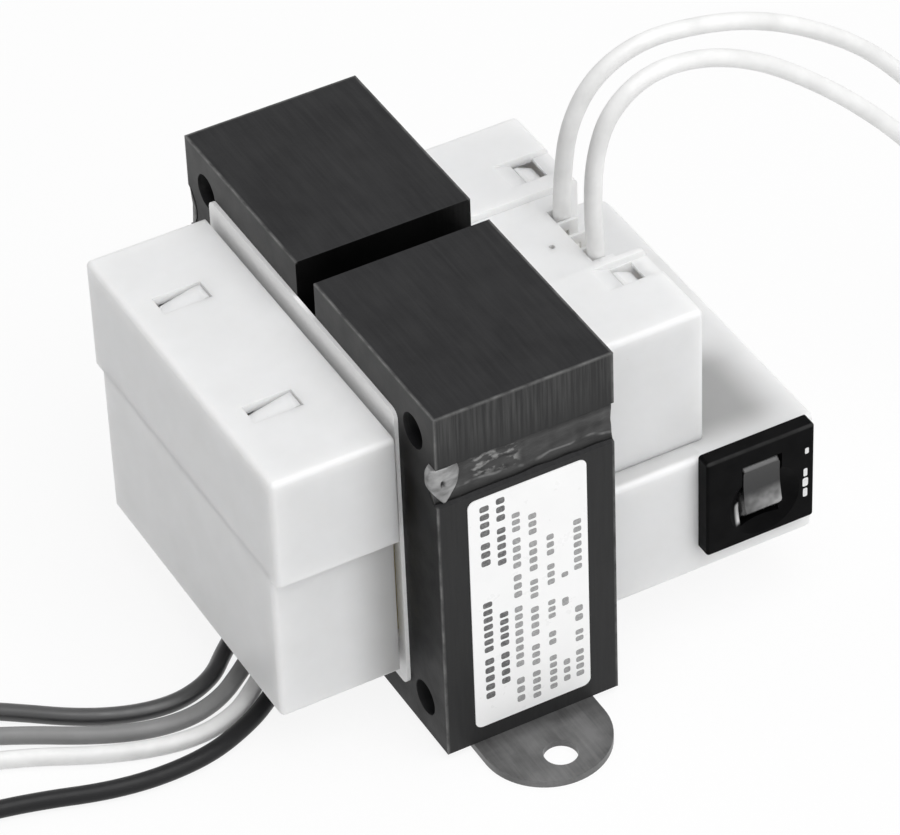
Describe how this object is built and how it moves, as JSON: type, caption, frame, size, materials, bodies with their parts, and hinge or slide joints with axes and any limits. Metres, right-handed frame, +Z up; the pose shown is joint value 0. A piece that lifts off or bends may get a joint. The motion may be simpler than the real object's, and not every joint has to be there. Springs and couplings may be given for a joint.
{
  "type": "foot mount transformer with circuit breaker",
  "caption": "Small laminated-core transformer on a flat foot strip, with nylon coil covers, colour-coded wire leads and a side-mounted resettable circuit breaker.",
  "frame": {"origin": "underside of the foot strip, midway between its two mounting holes", "axes": "+Z up out of the foot, +Y along the foot strip away from the label, +X towards the breaker and along the core's stack"},
  "size_m": [0.2922, 0.1256, 0.0848],
  "materials": {
    "core_steel": "varnished black lamination steel, satin",
    "weld_steel": "weld metal under a thin dark varnish, bare at its thick end",
    "foot_steel": "varnished steel strip, satin",
    "bobbin_nylon": "natural nylon",
    "winding_copper": "enamelled copper wire",
    "wrap_tape": "clear yellow tape",
    "barrier_sheet": "white insulation sheet",
    "cover_nylon": "white nylon, satin moulded face",
    "breaker_black": "black thermoset, fine texture",
    "button_black": "glossy black plastic",
    "terminal_brass": "tinned brass",
    "label_film": "white label film with plain dark bars",
    "lead_dark_grey": "dark PVC insulation, semi-gloss",
    "lead_grey": "mid grey PVC insulation, semi-gloss",
    "lead_white": "white PVC insulation, semi-gloss",
    "lead_black": "black PVC insulation, semi-gloss",
    "conductor_copper": "tinned stranded copper"
  },
  "bodies": {
    "transformer": {"core_e_stack": "core_steel", "core_yoke_front": "core_steel", "core_yoke_rear": "core_steel", "weld_bead_front": "weld_steel", "weld_bead_rear": "weld_steel", "foot_plate": "foot_steel", "bobbin": "bobbin_nylon", "primary_winding": "winding_copper", "secondary_winding": "winding_copper", "primary_wrap": "wrap_tape", "secondary_wrap": "wrap_tape", "barrier_left": "barrier_sheet", "barrier_right": "barrier_sheet", "left_cover_top": "cover_nylon", "left_cover_bottom": "cover_nylon", "right_cover_top": "cover_nylon", "right_cover_bottom": "cover_nylon", "breaker_housing": "breaker_black", "breaker_blade_line": "terminal_brass", "breaker_blade_load": "terminal_brass", "rating_label": "label_film", "breaker_wire_line": "lead_white", "breaker_wire_load": "lead_white", "primary_lead_1": "lead_dark_grey", "primary_lead_1_end": "conductor_copper", "primary_lead_2": "lead_grey", "primary_lead_2_end": "conductor_copper", "primary_lead_3": "lead_white", "primary_lead_3_end": "conductor_copper", "primary_lead_4": "lead_black", "primary_lead_4_end": "conductor_copper", "secondary_lead_1": "lead_white", "secondary_lead_1_end": "conductor_copper", "secondary_lead_2": "lead_white", "secondary_lead_2_end": "conductor_copper"},
    "button": {"breaker_button": "button_black"}
  },
  "joints": [
    {"name": "breaker_button_rock", "type": "hinge", "parent": "transformer", "child": "button", "pos_m": [0.0418, -0.0291, 0.0239], "axis": [1, 0, 0], "range_deg": [0, 20]}
  ]
}
